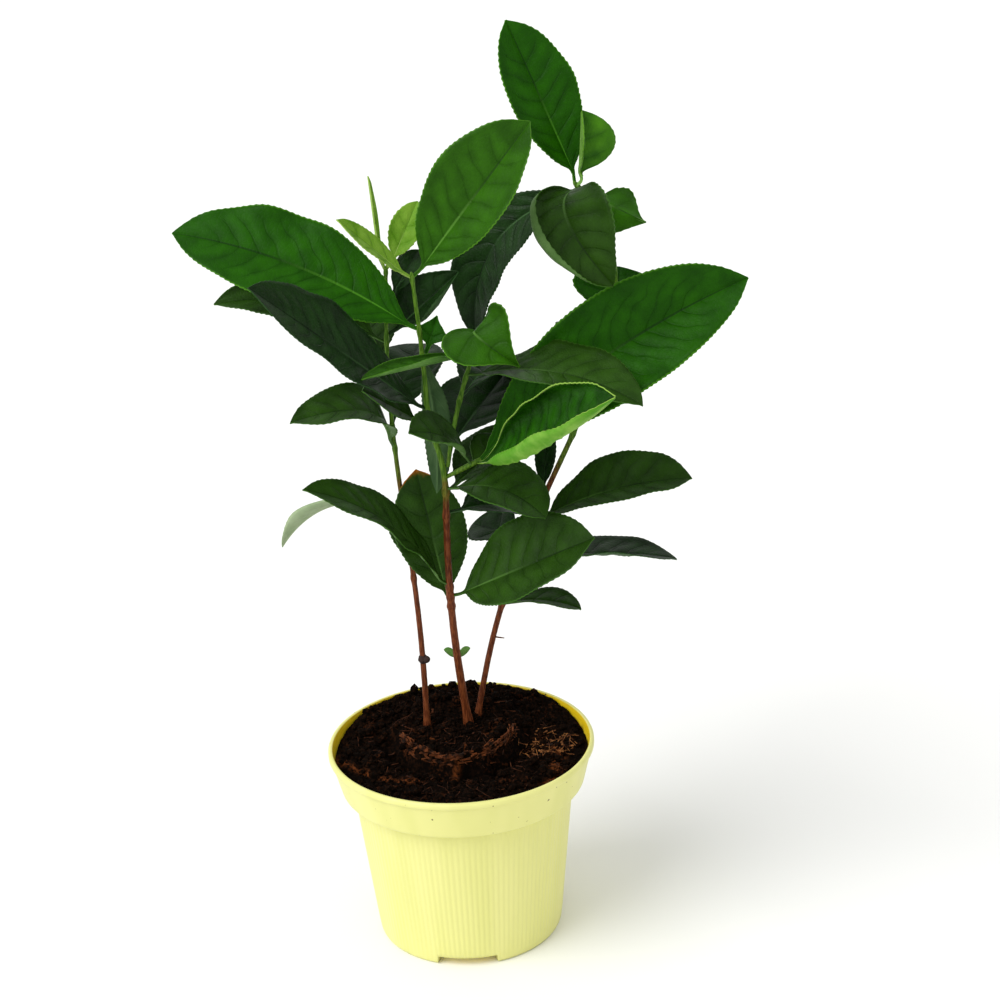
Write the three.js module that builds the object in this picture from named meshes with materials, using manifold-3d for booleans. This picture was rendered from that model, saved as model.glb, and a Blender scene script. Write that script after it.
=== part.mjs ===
// A young tea bush, Camellia sinensis, with three stems, in its 120 mm nursery pot.
// Millimetres, +Z up. The origin is the middle of the pot's flat underside.
// Compass angles are measured from +X towards +Y, seen from above; the front is -Y.

import * as THREE from 'three';
import { mergeVertices } from 'three/addons/utils/BufferGeometryUtils.js';
import Module from 'manifold-3d';

const wasm = await Module();
wasm.setup();

// ---------------------------------------------------------------- driving dimensions

const CLEARANCE = 0.3;

const POT = {
  height: 92,
  footRadius: 42,
  footRounding: 1.5,
  bodyTopRadius: 50,
  collarHeight: 19,
  collarFootRadius: 55,
  collarTopRadius: 59,
  lipHeight: 3,
  lipRadius: 60,
  lipInnerRadius: 58,
  lipRounding: 1,
  wall: 1.6,
  floor: 1.8,
  facets: 48,
};

const NOTCH = {
  count: 3,
  firstCompass: -94,
  spread: 38,
  height: 3.6,
  depth: 6,
  arcPoints: 6,
};

const SOIL = {
  edgeHeight: 87,
  plugHeight: 91,
  plugRadius: 27,
  plugSlope: 4,
  plugX: 0,
  plugY: 16,
  hollowY: -28,
  hollowDepth: 3,
  hollowWidth: 26,
  hollowLength: 10,
  waveHeight: 0.8,
  waveLength: 42,
  levelShare: 0.02,
  rollingShare: 0.2,
  topRings: 7,
};

const LEAF = {
  around: 8,
  along: 9,
  petiole: 5,
  petioleWidth: 1.9,
  thickness: 0.8,
  rib: 0.5,
  fold: 8,
  baseFullness: 0.85,
  tipFullness: 0.75,
};

const STEM = {
  around: 8,
  flare: 1.3,
  flareHeight: 7,
  step: 10,
};

// ---------------------------------------------------------------- materials

function material(hex, roughness) {
  return new THREE.MeshStandardMaterial({ color: hex, roughness, metalness: 0 });
}

const POT_YELLOW = 0xece993;
const PEAT_BROWN = 0x1d120a;
const BARK_RED = 0x74392a;
const SHOOT_GREEN = 0x7d8f3c;
const LEAF_DARK = 0x1e3b20;
const LEAF_MID = 0x2b5a1c;
const LEAF_BRIGHT = 0x3b8412;
const LEAF_YOUNG = 0x7cab34;

// ---------------------------------------------------------------- helpers

const radians = THREE.MathUtils.degToRad;
const UP = new THREE.Vector3(0, 0, 1);
// A hair to the right, so that a leaf that points straight to the front still has a side to turn to.
const FRONT = new THREE.Vector3(0.1, -1, 0);

// A mesh named for its sub-part, with a material of its own.
function part(name, geometry, hex, roughness = 0.5) {
  const mesh = new THREE.Mesh(geometry, material(hex, roughness));
  mesh.name = name;
  return mesh;
}

// Moves every vertex of a primitive; place(point, uv) returns its new position.
function reshape(geometry, place) {
  const position = geometry.getAttribute('position');
  const uv = geometry.getAttribute('uv');
  const point = new THREE.Vector3();
  const mark = new THREE.Vector2();
  for (let i = 0; i < position.count; i += 1) {
    point.fromBufferAttribute(position, i);
    mark.fromBufferAttribute(uv, i);
    const moved = place(point, mark);
    position.setXYZ(i, moved.x, moved.y, moved.z);
  }
  return geometry;
}

function toSolid(geometry) {
  const bare = geometry.clone();
  bare.deleteAttribute('normal');
  bare.deleteAttribute('uv');
  const merged = mergeVertices(bare, 1e-4);
  return new wasm.Manifold(new wasm.Mesh({
    numProp: 3,
    vertProperties: new Float32Array(merged.getAttribute('position').array),
    triVerts: new Uint32Array(merged.getIndex().array),
  }));
}

function toGeometry(solid) {
  const mesh = solid.getMesh();
  const geometry = new THREE.BufferGeometry();
  geometry.setAttribute('position', new THREE.BufferAttribute(new Float32Array(mesh.vertProperties), 3));
  geometry.setIndex(new THREE.BufferAttribute(new Uint32Array(mesh.triVerts), 1));
  return geometry;
}

// ---------------------------------------------------------------- pot and soil

// A quarter turn of a rounded edge in a profile, from angle `from` to `to` in degrees.
function roundedEdge(centreX, centreY, radius, from, to, steps = 3) {
  const points = [];
  for (let i = 0; i <= steps; i += 1) {
    const angle = radians(from + ((to - from) * i) / steps);
    points.push([centreX + radius * Math.cos(angle), centreY + radius * Math.sin(angle)]);
  }
  return points;
}

function turned(profile, facets) {
  const points = profile.map(([x, y]) => new THREE.Vector2(x, y));
  const geometry = new THREE.LatheGeometry(points, facets);
  return geometry.rotateX(Math.PI / 2);
}

function innerRadiusAt(height) {
  const bodyTop = POT.height - POT.collarHeight;
  const share = Math.min(height / bodyTop, 1);
  return POT.footRadius + (POT.bodyTopRadius - POT.footRadius) * share - POT.wall;
}

// One notch: a wedge of the foot, open outwards, cut up from the ground.
function notchCutter(compass) {
  const shape = new THREE.Shape();
  const half = radians(NOTCH.spread / 2);
  shape.absarc(0, 0, POT.footRadius - NOTCH.depth, -half, half, false);
  shape.absarc(0, 0, POT.footRadius + NOTCH.depth, half, -half, true);
  const depth = 2 * NOTCH.height;
  const block = new THREE.ExtrudeGeometry(shape, {
    depth,
    bevelEnabled: false,
    curveSegments: NOTCH.arcPoints,
  });
  block.translate(0, 0, -NOTCH.height);
  block.rotateZ(radians(compass));
  return toSolid(block);
}

function potGeometry() {
  const bodyTop = POT.height - POT.collarHeight;
  const lipFoot = POT.height - POT.lipHeight;
  const profile = [
    [0, 0],
    ...roundedEdge(POT.footRadius - POT.footRounding, POT.footRounding, POT.footRounding, -90, 0),
    [POT.bodyTopRadius, bodyTop],
    [POT.collarFootRadius, bodyTop],
    [POT.collarTopRadius, lipFoot],
    [POT.lipRadius, lipFoot],
    ...roundedEdge(POT.lipRadius - POT.lipRounding, POT.height - POT.lipRounding, POT.lipRounding, 0, 90, 2),
    [POT.lipInnerRadius, POT.height],
    [POT.lipInnerRadius, lipFoot],
    [POT.collarFootRadius - POT.wall, bodyTop + POT.wall],
    [innerRadiusAt(bodyTop), bodyTop + POT.wall],
    [innerRadiusAt(POT.floor), POT.floor],
    [0, POT.floor],
  ];
  let solid = toSolid(turned(profile, POT.facets));
  for (let i = 0; i < NOTCH.count; i += 1) {
    solid = solid.subtract(notchCutter(NOTCH.firstCompass + (i * 360) / NOTCH.count));
  }
  return toGeometry(solid);
}

// The pot's inside radius at a height between its floor and the foot of the lip.
function insideRadius(height) {
  const ledge = POT.height - POT.collarHeight + POT.wall;
  if (height < ledge) return innerRadiusAt(height);
  const share = (height - ledge) / (POT.height - POT.lipHeight - ledge);
  return THREE.MathUtils.lerp(POT.collarFootRadius - POT.wall, POT.lipInnerRadius, share);
}

// Height of the soil: the old root plug stands proud behind a shallow hollow, and the
// loose soil between them rolls a little and lies level along the wall.
function soilHeight(x, y) {
  const fromPlug = Math.hypot(x - SOIL.plugX, y - SOIL.plugY);
  const plug = 1 - THREE.MathUtils.smoothstep(fromPlug, SOIL.plugRadius, SOIL.plugRadius + SOIL.plugSlope);
  const fromWall = 1 - Math.hypot(x, y) / insideRadius(SOIL.edgeHeight);
  const loose = (1 - plug) * THREE.MathUtils.smoothstep(fromWall, SOIL.levelShare, SOIL.rollingShare);
  const across = (x - SOIL.plugX) / SOIL.hollowWidth;
  const deep = (y - SOIL.hollowY) / SOIL.hollowLength;
  const hollow = SOIL.hollowDepth * Math.exp(-across * across - deep * deep);
  const turn = (2 * Math.PI) / SOIL.waveLength;
  const wave = SOIL.waveHeight * Math.sin(turn * x) * Math.cos(turn * y);
  return SOIL.edgeHeight + plug * (SOIL.plugHeight - SOIL.edgeHeight) + loose * (wave - hollow);
}

function soilGeometry() {
  const ledge = POT.height - POT.collarHeight + POT.wall + CLEARANCE;
  const bottom = POT.floor + CLEARANCE;
  const rim = insideRadius(SOIL.edgeHeight) - CLEARANCE;
  const profile = [
    [0, bottom],
    [innerRadiusAt(bottom) - CLEARANCE, bottom],
    [innerRadiusAt(POT.height - POT.collarHeight) - CLEARANCE, ledge],
    [POT.collarFootRadius - POT.wall - CLEARANCE, ledge],
  ];
  for (let i = 0; i <= SOIL.topRings; i += 1) {
    profile.push([rim * (1 - i / SOIL.topRings), SOIL.edgeHeight]);
  }
  return reshape(turned(profile, POT.facets), (point) => {
    const onTop = point.z > ledge + CLEARANCE;
    if (onTop) point.z = soilHeight(point.x, point.y);
    return point;
  });
}

// ---------------------------------------------------------------- stems

// A stem runs from its foot to its top, with a bow, a double sway, a kink where an old tip was
// pinched out and a hook near the top, each given as how far it moves the stem right and back.
// A shoot gives the stem and the height that it springs from, and its top is measured from there.
const STEMS = {
  left: {
    foot: [-15, 16],
    top: [-20, 30, 305],
    bow: [-2, 0],
    sway: [2, -1],
    radii: [1.4, 1.1, 0.8],
    hex: BARK_RED,
  },
  centre: {
    foot: [4, 16],
    top: [-3, 1, 310],
    bow: [-1, -4],
    sway: [-2, 0],
    kink: [-6, 0],
    radii: [1.9, 1.4, 0.8],
    hex: BARK_RED,
  },
  right: {
    foot: [8, 21],
    top: [95, 32, 337],
    bow: [1, 2],
    sway: [-6, 0],
    hook: [-33, 0],
    radii: [1.4, 1.2, 0.9],
    hex: BARK_RED,
  },
  shoot: {
    from: 'centre',
    height: 223,
    top: [18, 6, 58],
    bow: [-2, 0],
    radii: [1, 1, 0.8],
    hex: SHOOT_GREEN,
  },
  twig: { from: 'centre', height: 218, top: [14, -4, 8], bow: [0, 0], radii: [0.9, 0.9, 0.8], hex: BARK_RED },
};
const HOOK_SHARPNESS = 8;
const KINK_FROM = 0.58;
const KINK_TO = 0.7;
const CURVE_POINTS = 16;
const HALVINGS = 30;

function stemFoot(stem) {
  if (!stem.from) return new THREE.Vector3(stem.foot[0], stem.foot[1], SOIL.plugHeight + CLEARANCE);
  return besideStem(STEMS[stem.from], stem.height, new THREE.Vector3(...stem.top), stem.radii[0]);
}

function stemCurve(stem) {
  const foot = stemFoot(stem);
  const top = new THREE.Vector3(...stem.top);
  if (stem.from) top.add(foot);
  const [swayX, swayY] = stem.sway ?? [0, 0];
  const [hookX, hookY] = stem.hook ?? [0, 0];
  const [kinkX, kinkY] = stem.kink ?? [0, 0];
  const points = [];
  for (let i = 0; i <= CURVE_POINTS; i += 1) {
    const share = i / CURVE_POINTS;
    const bow = Math.sin(Math.PI * share);
    const sway = Math.sin(2 * Math.PI * share);
    const hook = share ** HOOK_SHARPNESS;
    const kink = THREE.MathUtils.smoothstep(share, KINK_FROM, KINK_TO);
    const point = foot.clone().lerp(top, share);
    point.x += stem.bow[0] * bow + swayX * sway + kinkX * kink + hookX * hook;
    point.y += stem.bow[1] * bow + swayY * sway + kinkY * kink + hookY * hook;
    points.push(point);
  }
  return new THREE.CatmullRomCurve3(points);
}

function radiusAt(stem, share) {
  const last = stem.radii.length - 1;
  const step = Math.min(Math.floor(share * last), last - 1);
  return THREE.MathUtils.lerp(stem.radii[step], stem.radii[step + 1], share * last - step);
}

// The share of a stem's length at which it passes a height.
function shareAtHeight(curve, height) {
  let low = 0;
  let high = 1;
  for (let i = 0; i < HALVINGS; i += 1) {
    const middle = (low + high) / 2;
    if (curve.getPointAt(middle).z < height) low = middle;
    else high = middle;
  }
  return low;
}

// The point just clear of a stem's bark at a height, on the side that a direction points to. A
// limb that leaves at a narrow angle needs up to its own radius more as room.
function besideStem(stem, height, direction, limbRadius = 0) {
  const curve = stemCurve(stem);
  const share = shareAtHeight(curve, height);
  const along = curve.getTangentAt(share);
  const sideways = direction.clone().addScaledVector(along, -direction.dot(along)).normalize();
  const room = limbRadius * Math.abs(direction.clone().normalize().dot(along));
  return curve.getPointAt(share).addScaledVector(sideways, radiusAt(stem, share) + 2 * CLEARANCE + room);
}

function stemGeometry(stem) {
  const curve = stemCurve(stem);
  const length = curve.getLength();
  const side = new THREE.Vector3();
  const front = new THREE.Vector3();
  const tube = new THREE.CylinderGeometry(1, 1, 1, STEM.around, Math.max(3, Math.round(length / STEM.step)));
  return reshape(tube, (point) => {
    const share = THREE.MathUtils.clamp(point.y + 0.5, 0, 1);
    const nearFoot = stem.from ? 0 : Math.max(0, 1 - (share * length) / STEM.flareHeight);
    const radius = radiusAt(stem, share) * (1 + (STEM.flare - 1) * nearFoot ** 2);
    const along = !stem.from && share === 0 ? UP : curve.getTangentAt(share);
    side.set(0, -1, 0).cross(along).normalize();
    front.crossVectors(along, side);
    return curve.getPointAt(share)
      .addScaledVector(side, -point.x * radius)
      .addScaledVector(front, point.z * radius);
  });
}

// ---------------------------------------------------------------- leaves

// Half the blade's width at a share of its length: a wedge base and a tapering tip.
function bladeHalfWidth(share, length, width, petiole) {
  const petioleShare = petiole / length;
  const blade = THREE.MathUtils.clamp((share - petioleShare) / (1 - petioleShare), 0, 1);
  const p = LEAF.baseFullness;
  const q = LEAF.tipFullness;
  const peak = (p / (p + q)) ** p * (q / (p + q)) ** q;
  const shape = (blade ** p * (1 - blade) ** q) / peak;
  return Math.max((width / 2) * shape, LEAF.petioleWidth / 2);
}

// The share of the length of ring k: rings stand closer near both ends.
function ringShare(k) {
  const even = k / LEAF.along;
  const crowded = (1 - Math.cos(Math.PI * even)) / 2;
  return (even + crowded) / 2;
}

// The direction of the upper face: straight up as far as the chord allows, and then turned about
// the chord towards the front by an angle in degrees.
function upperFace(chord, face) {
  const along = chord.clone().normalize();
  const up = UP.clone().addScaledVector(along, -UP.dot(along)).normalize();
  const side = new THREE.Vector3().crossVectors(along, up);
  if (side.dot(FRONT) < 0) side.negate();
  return up.multiplyScalar(Math.cos(radians(face))).addScaledVector(side, Math.sin(radians(face)));
}

// The midrib leaves the stem for the tip as a shallow arc, bowed upwards; sweep is how far its
// middle stands to the right.
function midribFrame(start, leaf, share) {
  const chord = new THREE.Vector3(...leaf.tip);
  const bow = (leaf.bow ?? 0) * chord.length();
  const sweep = leaf.sweep ?? 0;
  const face = upperFace(chord, leaf.face ?? 0);
  const archFace = upperFace(chord, 0);
  const along = chord.clone().addScaledVector(archFace, 4 * bow * (1 - 2 * share));
  along.x += 4 * sweep * (1 - 2 * share);
  along.normalize();
  const upper = face.addScaledVector(along, -face.dot(along)).normalize();
  const right = new THREE.Vector3().crossVectors(along, upper);
  const place = start.clone().addScaledVector(chord, share);
  place.addScaledVector(archFace, 4 * bow * share * (1 - share));
  place.x += 4 * sweep * share * (1 - share);
  return { place, upper, right };
}

// Where round the ball's net the underside's midrib lies.
const MIDRIB_SHARE = 0.75;

// A blade is a ball's net pressed flat along its midrib: its poles are the petiole's foot and the tip.
function leafGeometry(leaf) {
  const chord = new THREE.Vector3(...leaf.tip);
  const start = besideStem(STEMS[leaf.stem], leaf.height, chord);
  // the length of a shallow arc over its chord
  const length = chord.length() * (1 + (8 / 3) * (leaf.bow ?? 0) ** 2);
  const fold = radians(leaf.fold ?? LEAF.fold);
  const ball = new THREE.SphereGeometry(1, LEAF.around, LEAF.along);
  return reshape(ball, (point, mark) => {
    const ring = Math.round((1 - mark.y) * LEAF.along);
    const share = ringShare(ring);
    const { place, upper, right } = midribFrame(start, leaf, share);
    if (ring === 0 || ring === LEAF.along) return place;
    const angle = 2 * Math.PI * mark.x;
    const across = Math.cos(angle);
    const half = bladeHalfWidth(share, length, leaf.width, leaf.petiole ?? LEAF.petiole);
    const body = Math.sin(angle) * (LEAF.thickness / 2);
    const onMidrib = mark.x === MIDRIB_SHARE;
    const rib = onMidrib ? -LEAF.rib : 0;
    return place
      .addScaledVector(right, half * across * Math.cos(fold))
      .addScaledVector(upper, half * Math.abs(across) * Math.sin(fold) + body + rib);
  });
}

// Each leaf: where it leaves its stem, where its tip lies from there (right, back, up), how far
// it bows as a share of its length, and how many degrees its face is turned to the front. A leaf
// with no colour of its own is mid green.
const LEAVES = [
  // lowest tier
  { name: 'low_left', stem: 'centre', height: 165, tip: [-57, -25, 59], width: 27, bow: 0.1, face: 25 },
  { name: 'low_back', stem: 'centre', height: 155, tip: [-11, 13, 59], width: 33, face: 38 },
  { name: 'low_front', stem: 'centre', height: 160, tip: [60, -35, 38], width: 42, face: 45 },
  { name: 'left_low', stem: 'left', height: 197, tip: [-54, 5, -17], width: 18, bow: 0.2, face: -20 },
  { name: 'right_small', stem: 'right', height: 148, tip: [33, -10, -1], width: 20, bow: 0.08 },
  {
    name: 'right_edge',
    stem: 'right',
    height: 167,
    tip: [70, -5, -1],
    width: 30,
    bow: 0.05,
    face: -5,
    hex: LEAF_DARK,
  },
  { name: 'right_inner', stem: 'right', height: 177, tip: [-22, 20, 0], width: 26, face: 20, hex: LEAF_DARK },
  // middle tier
  {
    name: 'mid_right',
    stem: 'centre',
    height: 212,
    tip: [40, -25, -6],
    width: 34,
    bow: 0.15,
    face: 10,
    hex: LEAF_DARK,
  },
  {
    name: 'mid_under',
    stem: 'centre',
    height: 200,
    tip: [34, 12, -6],
    width: 28,
    bow: 0.1,
    face: 10,
    hex: LEAF_DARK,
  },
  { name: 'right_mid', stem: 'right', height: 187, tip: [68, -10, 19], width: 34, bow: 0.06, face: 20 },
  { name: 'right_narrow', stem: 'right', height: 196, tip: [5, 20, 25], width: 10, hex: LEAF_DARK },
  {
    name: 'left_arched',
    stem: 'left',
    height: 225,
    tip: [-42, -20, 21],
    width: 33,
    bow: 0.2,
    face: 15,
    sweep: 8,
  },
  { name: 'under_left', stem: 'centre', height: 243, tip: [-25, -10, 20], width: 26, face: 20 },
  { name: 'front_fold', stem: 'twig', height: 224, tip: [-25, -22, 23], width: 23, bow: 0.12, face: 35 },
  { name: 'twig_strip', stem: 'twig', height: 222, tip: [20, 18, 6], width: 20, face: 15 },
  {
    name: 'cupped',
    stem: 'twig',
    height: 225,
    tip: [54, -77, 52],
    width: 42,
    bow: -0.05,
    face: 45,
    fold: 24,
    petiole: 12,
    hex: LEAF_BRIGHT,
  },
  {
    name: 'right_big',
    stem: 'twig',
    height: 226,
    tip: [118, 15, 69],
    width: 47,
    bow: 0.05,
    face: 62,
    hex: LEAF_BRIGHT,
  },
  { name: 'shoot_dark', stem: 'shoot', height: 233, tip: [24, 36, 17], width: 42, hex: LEAF_DARK },
  {
    name: 'back_dark',
    stem: 'centre',
    height: 274,
    tip: [3, 6, -66],
    width: 14,
    bow: 0.08,
    hex: LEAF_DARK,
  },
  // upper tier
  {
    name: 'grey_left',
    stem: 'centre',
    height: 250,
    tip: [-65, -50, 71],
    width: 38,
    face: 45,
    hex: LEAF_DARK,
  },
  {
    name: 'bright_left',
    stem: 'centre',
    height: 285,
    tip: [-100, 22, 42],
    width: 43,
    bow: 0.06,
    face: 45,
    hex: LEAF_BRIGHT,
  },
  { name: 'left_hidden', stem: 'left', height: 272, tip: [-72, 5, 20], width: 34, bow: 0.12, face: 35 },
  {
    name: 'back_pointed',
    stem: 'centre',
    height: 272,
    tip: [6, 7, 16],
    width: 15,
    face: 30,
    hex: LEAF_BRIGHT,
  },
  {
    name: 'back_crumpled',
    stem: 'left',
    height: 275,
    tip: [31, 2, 26],
    width: 28,
    face: 45,
    fold: 15,
    hex: LEAF_DARK,
  },
  { name: 'left_grey', stem: 'left', height: 290, tip: [14, 8, 20], width: 13, face: 30 },
  {
    name: 'shoot_level',
    stem: 'shoot',
    height: 262,
    tip: [70, -38, -5],
    width: 38,
    bow: 0.1,
    face: 10,
    hex: LEAF_DARK,
  },
  { name: 'shoot_sweep', stem: 'shoot', height: 271, tip: [-46, -40, 4], width: 13 },
  {
    name: 'shoot_down',
    stem: 'shoot',
    height: 280,
    tip: [14, -20, -10],
    width: 36,
    bow: 0.3,
    face: 40,
    fold: 12,
    sweep: -12,
  },
  {
    name: 'right_behind',
    stem: 'right',
    height: 272,
    tip: [6, 14, 23],
    width: 40,
    face: 20,
    hex: LEAF_BRIGHT,
  },
  // top tier
  { name: 'left_young', stem: 'left', height: 304, tip: [14, 8, 27], width: 14, face: 50, hex: LEAF_YOUNG },
  { name: 'left_bud', stem: 'left', height: 304.5, tip: [-3, 1, 40], width: 4, petiole: 2, hex: LEAF_YOUNG },
  {
    name: 'top_sliver',
    stem: 'centre',
    height: 308,
    tip: [-27, -15, 30],
    width: 12,
    face: 45,
    petiole: 2,
    hex: LEAF_YOUNG,
  },
  { name: 'top_front', stem: 'centre', height: 308, tip: [50, -5, 63], width: 39, face: 60 },
  {
    name: 'right_hang',
    stem: 'right',
    height: 333,
    tip: [-47, 15, -66],
    width: 30,
    bow: 0.2,
    face: 60,
    hex: LEAF_DARK,
  },
  {
    name: 'right_arch',
    stem: 'right',
    height: 335,
    tip: [12, -30, -36],
    width: 43,
    bow: 0.35,
    face: 40,
    fold: 10,
    sweep: -17,
  },
  {
    name: 'right_glossy',
    stem: 'right',
    height: 331.5,
    tip: [24, -12, -11],
    width: 27,
    face: 45,
    fold: -22,
    petiole: 2,
  },
  {
    name: 'right_young',
    stem: 'right',
    height: 334.5,
    tip: [2, 5, 31],
    width: 30,
    fold: 35,
    face: 72,
    hex: LEAF_YOUNG,
  },
  {
    name: 'right_top',
    stem: 'right',
    height: 336,
    tip: [-27, 10, 68],
    width: 32,
    face: 50,
    hex: LEAF_BRIGHT,
  },
  // leaves that fill the back of the crown
  { name: 'rear_low', stem: 'left', height: 165, tip: [10, 55, 10], width: 34, bow: 0.1 },
  {
    name: 'rear_left_low',
    stem: 'left',
    height: 235,
    tip: [14, 45, 22],
    width: 35,
    bow: 0.1,
    hex: LEAF_DARK,
  },
  { name: 'rear_left_high', stem: 'left', height: 262, tip: [-25, 55, 20], width: 38, bow: 0.1 },
  { name: 'rear_centre', stem: 'centre', height: 211, tip: [34, 30, 16], width: 32, hex: LEAF_DARK },
  { name: 'rear_middle', stem: 'shoot', height: 252, tip: [24, 42, 0], width: 28, bow: 0.12, hex: LEAF_DARK },
  {
    name: 'rear_right_low',
    stem: 'right',
    height: 225,
    tip: [-37, 54, 10],
    width: 38,
    bow: 0.1,
    hex: LEAF_DARK,
  },
  { name: 'rear_right_high', stem: 'right', height: 256, tip: [0, 50, 0], width: 36, bow: 0.12 },
];

// ---------------------------------------------------------------- assembly

const teaBush = new THREE.Group();
teaBush.add(part('pot', potGeometry(), POT_YELLOW, 0.45));
teaBush.add(part('soil', soilGeometry(), PEAT_BROWN, 1));
for (const [name, stem] of Object.entries(STEMS)) {
  teaBush.add(part(`stem_${name}`, stemGeometry(stem), stem.hex, 0.6));
}
for (const leaf of LEAVES) {
  teaBush.add(part(`leaf_${leaf.name}`, leafGeometry(leaf), leaf.hex ?? LEAF_MID, 0.4));
}

export default teaBush;
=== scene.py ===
import math
import random
from collections import namedtuple

import bmesh
import bpy
from bpy.props import (
    FloatProperty,
    FloatVectorProperty,
    IntProperty,
    PointerProperty,
)
from mathutils import Matrix, Vector, noise
from mathutils.bvhtree import BVHTree


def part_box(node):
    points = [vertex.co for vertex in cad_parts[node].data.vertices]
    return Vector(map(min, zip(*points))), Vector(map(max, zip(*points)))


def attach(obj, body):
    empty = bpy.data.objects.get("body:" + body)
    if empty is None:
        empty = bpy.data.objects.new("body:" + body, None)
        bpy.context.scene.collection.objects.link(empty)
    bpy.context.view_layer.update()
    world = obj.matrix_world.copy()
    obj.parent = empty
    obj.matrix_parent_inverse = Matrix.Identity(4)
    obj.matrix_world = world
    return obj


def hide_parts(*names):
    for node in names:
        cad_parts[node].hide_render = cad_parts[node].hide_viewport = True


bl_info = {
    "name": "Potted Tea Bush",
    "version": (1, 0, 0),
    "blender": (4, 5, 0),
    "location": "View3D > Sidebar > Tea Bush",
    "description": "Builds a young tea bush in its nursery pot around its CAD frame",
    "category": "Add Mesh",
}

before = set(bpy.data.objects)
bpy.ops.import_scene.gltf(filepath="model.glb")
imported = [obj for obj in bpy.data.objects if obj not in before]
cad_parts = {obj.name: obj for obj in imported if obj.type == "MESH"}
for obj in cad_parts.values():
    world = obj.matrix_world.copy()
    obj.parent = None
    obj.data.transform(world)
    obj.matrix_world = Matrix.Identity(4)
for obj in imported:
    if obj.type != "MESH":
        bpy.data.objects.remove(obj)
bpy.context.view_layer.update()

MM = 0.001
UP = Vector((0.0, 0.0, 1.0))

# noise vectors start from the time of day unless a seed is set, and every build has to be the same
NOISE_SEED = 7
noise.seed_set(NOISE_SEED)


# ------------------------------------------------------------------ reading the frame


def nodes_named(start):
    """The names of the CAD nodes that start so, in order."""
    return sorted(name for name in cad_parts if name.startswith(start))


def merged_copy(node):
    """A bmesh copy of a CAD node with its loose triangles joined."""
    bm = bmesh.new()
    bm.from_mesh(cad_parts[node].data)
    bm.transform(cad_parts[node].matrix_world)
    bmesh.ops.remove_doubles(bm, verts=bm.verts, dist=0.002 * MM)
    return bm


def rings_from(pole):
    """The rings of points round a pole, out to the other pole."""
    seen = {pole}
    rings = [[pole]]
    while True:
        ring = {edge.other_vert(v) for v in rings[-1] for edge in v.link_edges} - seen
        if not ring:
            return rings
        seen |= ring
        rings.append(list(ring))


def middle(points):
    return sum(points, Vector()) / len(points)


# faces round a CAD stem and a CAD leaf, which is how many edges meet at their ends
STEM_SIDES = 8
LEAF_SIDES = 8
# steps along a stem where its nearest point is looked for, and halvings where a height is
STEM_STEPS = 150
HALVINGS = 24


class Stem:
    """The run of a CAD stem: the middle and radius of each of its rings, foot first."""

    def __init__(self, node):
        bm = merged_copy(node)
        pole = min((v for v in bm.verts if len(v.link_edges) == STEM_SIDES), key=lambda v: v.co.z)
        rings = [[v.co.copy() for v in ring] for ring in rings_from(pole)]
        bm.free()
        self.node = node
        self.middles = [middle(ring) for ring in rings[1:-1]]
        self.radii = [
            sum((p - c).length for p in ring) / len(ring)
            for ring, c in zip(rings[1:-1], self.middles)
        ]
        self.dense = [self.at(share)[0] for share in spaced(0.0, 1.0, STEM_STEPS)]

    def at(self, share):
        """The point, direction and radius at a share of the stem's rings."""
        point = along_line(self.middles, share)
        ahead = along_line(self.middles, min(share + 0.01, 1.0))
        behind = along_line(self.middles, max(share - 0.01, 0.0))
        return point, (ahead - behind).normalized(), along_line(self.radii, share)

    def at_height(self, height):
        """What at() gives where the stem passes a height."""
        low, high = 0.0, 1.0
        for _ in range(HALVINGS):
            half = (low + high) / 2
            if self.at(half)[0].z < height:
                low = half
            else:
                high = half
        return self.at(low)


def along_line(values, share):
    """A smooth curve through evenly spaced values, read at a share from 0 to 1."""
    last = len(values) - 1
    where = max(0.0, min(1.0, share)) * last
    i = min(int(where), last - 1)
    f = where - i
    a = values[max(i - 1, 0)]
    b = values[i]
    c = values[i + 1]
    d = values[min(i + 2, last)]
    return (
        b * 2
        + (c - a) * f
        + (a * 2 - b * 5 + c * 4 - d) * (f * f)
        + (b * 3 - a - c * 3 + d) * (f * f * f)
    ) * 0.5


def read_stems():
    return [Stem(node) for node in nodes_named("stem_")]


def nearest_on(stems, point):
    """The point of the stems that is nearest to a point."""
    return min((m for stem in stems for m in stem.dense), key=lambda m: (m - point).length)


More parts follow.
